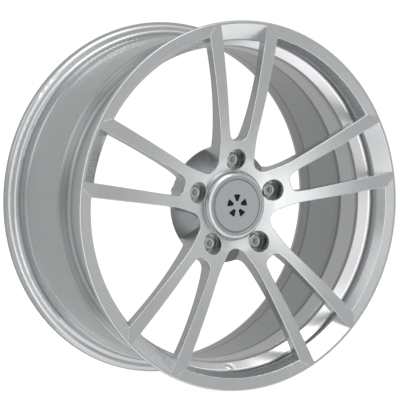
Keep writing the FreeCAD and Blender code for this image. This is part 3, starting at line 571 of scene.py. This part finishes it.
def shank_rows():
    """Rows of the thread, close enough together to carry its helix."""
    count = round((THREAD_END - THREAD_START) / THREAD_PITCH * THREAD_ROWS_PER_TURN)
    step = (THREAD_END - THREAD_START) / count
    return [(THREAD_CREST, THREAD_START + step * row, "thread") for row in range(count + 1)]


def thread_radius(turn, depth):
    """Radius of a thread with flat crests and roots, run out at its start, chamfered at its tip."""
    phase = (depth / THREAD_PITCH + turn / (2 * math.pi)) % 1.0
    ridge = abs(2 * phase - 1)
    cut = min(max((0.82 - ridge) / 0.62, 0.0), 1.0)
    run_out = min(max((depth - THREAD_START) / THREAD_PITCH, 0.0), 1.0)
    radius = THREAD_CREST - THREAD_HEIGHT * cut * run_out
    return min(radius, THREAD_CREST - max(depth - (THREAD_END - TIP_CHAMFER), 0.0))


def row_radius(radius, depth, kind, turn):
    """Radius of a row at one turn, as its kind shapes it."""
    if kind == "hex":
        return min(radius, hexagon_radius(turn))
    if kind == "fillet":
        return hexagon_radius(turn) + radius
    if kind == "thread":
        return thread_radius(turn, depth)
    return radius


def bolt_rings(shape, swing):
    """The rings of vertices of a bolt on the Y axis, turned by its place on the bolt circle."""
    face_level = cad_box[0][1] / MM

    def vertex(radius, depth, turn):
        x = radius * math.cos(turn + swing)
        z = radius * math.sin(turn + swing)
        return shape.verts.new((x * MM, (face_level + depth) * MM, z * MM))

    turns = [2 * math.pi * column / BOLT_COLUMNS for column in range(BOLT_COLUMNS)]
    rings = []
    for radius, depth, kind in head_rows() + shank_rows():
        widths = [row_radius(radius, depth, kind, turn) for turn in turns]
        rings.append([vertex(width, depth, turn) for width, turn in zip(widths, turns)])
    return rings


def bolt_mesh(name, swing):
    """The closed mesh of a bolt."""
    shape = bmesh.new()
    rings = bolt_rings(shape, swing)
    for first, second in zip(rings, rings[1:]):
        for column in range(BOLT_COLUMNS):
            after = (column + 1) % BOLT_COLUMNS
            shape.faces.new((first[column], second[column], second[after], first[after]))
    shape.faces.new(list(rings[0]))
    shape.faces.new(list(reversed(rings[-1])))
    bmesh.ops.recalc_face_normals(shape, faces=shape.faces)
    mesh = bpy.data.meshes.new(name)
    shape.to_mesh(mesh)
    shape.free()
    mesh.materials.append(BOLT_STEEL)
    mesh.shade_smooth()
    mesh.set_sharp_from_angle(angle=SHARP_ANGLE)
    return mesh


def make_bolt(number):
    """A hexagon-headed wheel bolt with a real thread, at its place on the bolt circle."""
    name = f"threaded_bolt_{number}"
    swing = -2 * math.pi / LUG_COUNT * (number - 1)
    piece = bpy.data.objects.new(name, bolt_mesh(name, swing))
    piece.location.x = -BOLT_CIRCLE_RADIUS * math.sin(swing)
    piece.location.z = BOLT_CIRCLE_RADIUS * math.cos(swing)
    bpy.context.collection.objects.link(piece)
    bpy.context.view_layer.update()
    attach(piece, f"lug_bolt_{number}")
    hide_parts(f"lug_bolt_{number}")


for number in range(1, LUG_COUNT + 1):
    make_bolt(number)

# ---------------------------------------------------------------- studio

FLOOR_REACH = 60.0
WHITE = (1.0, 1.0, 1.0, 1.0)
SEEN_LEVEL = 1.05
ROOM_COLOR = (0.985, 0.99, 1.0, 1.0)
ROOM_LEVEL = 0.50
# compass angle from the street side (positive to the right), height angle, core and edge radius
# in degrees, and strength
GLOWS = (
    (-13, 57, 12, 26, 0.90),
    (-10, 2, 24, 34, 0.78),
    (7, -2, 6, 17, 0.48),
    (0, 28, 8, 22, 0.16),
    (30, 30, 4, 16, 0.86),
    (62, 8, 12, 32, 0.30),
    (-85, 34, 8, 28, 0.58),
    (0, -35, 12, 30, 0.78),
    (60, -35, 12, 32, 0.68),
    (-80, -30, 12, 34, 0.20),
    (0, -85, 14, 34, 0.60),
)
CAMERA_AIM_X = -72.2 * MM
CAMERA_AIM_Z = 11.5 * MM
CAMERA_AZIMUTH = -30.436
CAMERA_ELEVATION = 3.726
CAMERA_DISTANCE = 3.194
CAMERA_LENS = 206.86


def make_floor():
    """A wide white floor that the wheel stands on."""
    low = cad_box[0][2]
    mesh = bpy.data.meshes.new("studio_floor")
    shape = bmesh.new()
    corners = ((-1, -1), (1, -1), (1, 1), (-1, 1))
    shape.faces.new([shape.verts.new((FLOOR_REACH * x, FLOOR_REACH * y, low)) for x, y in corners])
    shape.to_mesh(mesh)
    shape.free()
    floor = bpy.data.objects.new("studio_floor", mesh)
    bpy.context.collection.objects.link(floor)
    mesh.materials.append(floor_white())
    floor.visible_glossy = False


def soft_box(name, place, target, size, power):
    """A rectangular soft light that faces a point."""
    lamp = bpy.data.lights.new(name, "AREA")
    lamp.shape = "RECTANGLE"
    lamp.size, lamp.size_y = size
    lamp.energy = power
    box = bpy.data.objects.new(name, lamp)
    box.location = place
    box.rotation_euler = (Vector(target) - Vector(place)).to_track_quat("-Z", "Y").to_euler()
    bpy.context.collection.objects.link(box)


def around(azimuth, elevation, distance, target=(0.0, 0.0, 0.0)):
    """A place at an angle from the street side (positive to the right) and a height angle."""
    turn = math.radians(azimuth)
    rise = math.radians(elevation)
    return Vector(target) + distance * Vector(
        (math.sin(turn) * math.cos(rise), -math.cos(turn) * math.cos(rise), math.sin(rise))
    )


def add_glow(tree, direction, so_far, azimuth, elevation, core, edge, strength):
    """Adds a soft round glow to the room's brightness so far."""
    facing = tree.nodes.new("ShaderNodeVectorMath")
    facing.operation = "DOT_PRODUCT"
    facing.inputs[1].default_value = around(azimuth, elevation, 1.0)
    tree.links.new(direction.outputs["Generated"], facing.inputs[0])
    glow = tree.nodes.new("ShaderNodeMapRange")
    glow.interpolation_type = "SMOOTHSTEP"
    glow.inputs["From Min"].default_value = math.cos(math.radians(edge))
    glow.inputs["From Max"].default_value = math.cos(math.radians(core))
    glow.inputs["To Max"].default_value = strength
    tree.links.new(facing.outputs["Value"], glow.inputs["Value"])
    added = tree.nodes.new("ShaderNodeMath")
    added.inputs[0].default_value = ROOM_LEVEL
    if so_far:
        tree.links.new(so_far.outputs["Value"], added.inputs[0])
    tree.links.new(glow.outputs["Result"], added.inputs[1])
    return added


def make_world():
    """White behind the wheel, and a dim room with large soft glows that light the wheel."""
    world = bpy.data.worlds.new("studio")
    bpy.context.scene.world = world
    world.use_nodes = True
    tree = world.node_tree
    tree.nodes.clear()
    seen = tree.nodes.new("ShaderNodeBackground")
    seen.inputs["Strength"].default_value = SEEN_LEVEL
    seen.inputs["Color"].default_value = WHITE
    room = tree.nodes.new("ShaderNodeBackground")
    room.inputs["Color"].default_value = ROOM_COLOR
    direction = tree.nodes.new("ShaderNodeTexCoord")
    brightness = None
    for glow in GLOWS:
        brightness = add_glow(tree, direction, brightness, *glow)
    tree.links.new(brightness.outputs["Value"], room.inputs["Strength"])
    path = tree.nodes.new("ShaderNodeLightPath")
    mix = tree.nodes.new("ShaderNodeMixShader")
    tree.links.new(path.outputs["Is Camera Ray"], mix.inputs["Fac"])
    tree.links.new(room.outputs["Background"], mix.inputs[1])
    tree.links.new(seen.outputs["Background"], mix.inputs[2])
    output = tree.nodes.new("ShaderNodeOutputWorld")
    tree.links.new(mix.outputs["Shader"], output.inputs["Surface"])


def make_camera():
    """A long lens from the street side, to the left of the wheel's axis and a little above it."""
    aim = Vector((CAMERA_AIM_X, cad_box[0][1], CAMERA_AIM_Z))
    lens = bpy.data.cameras.new("camera")
    lens.sensor_width = 36.0
    lens.lens = CAMERA_LENS
    lens.clip_end = 200.0
    camera = bpy.data.objects.new("camera", lens)
    camera.location = around(CAMERA_AZIMUTH, CAMERA_ELEVATION, CAMERA_DISTANCE, aim)
    camera.rotation_euler = (aim - camera.location).to_track_quat("-Z", "Y").to_euler()
    bpy.context.collection.objects.link(camera)
    bpy.context.scene.camera = camera


make_floor()
make_world()
soft_box("front_floor", (0.3, -2.2, 2.6), (0.2, -1.4, -0.26), (1.6, 1.2), 16)
make_camera()
bpy.context.scene.view_settings.view_transform = "Standard"
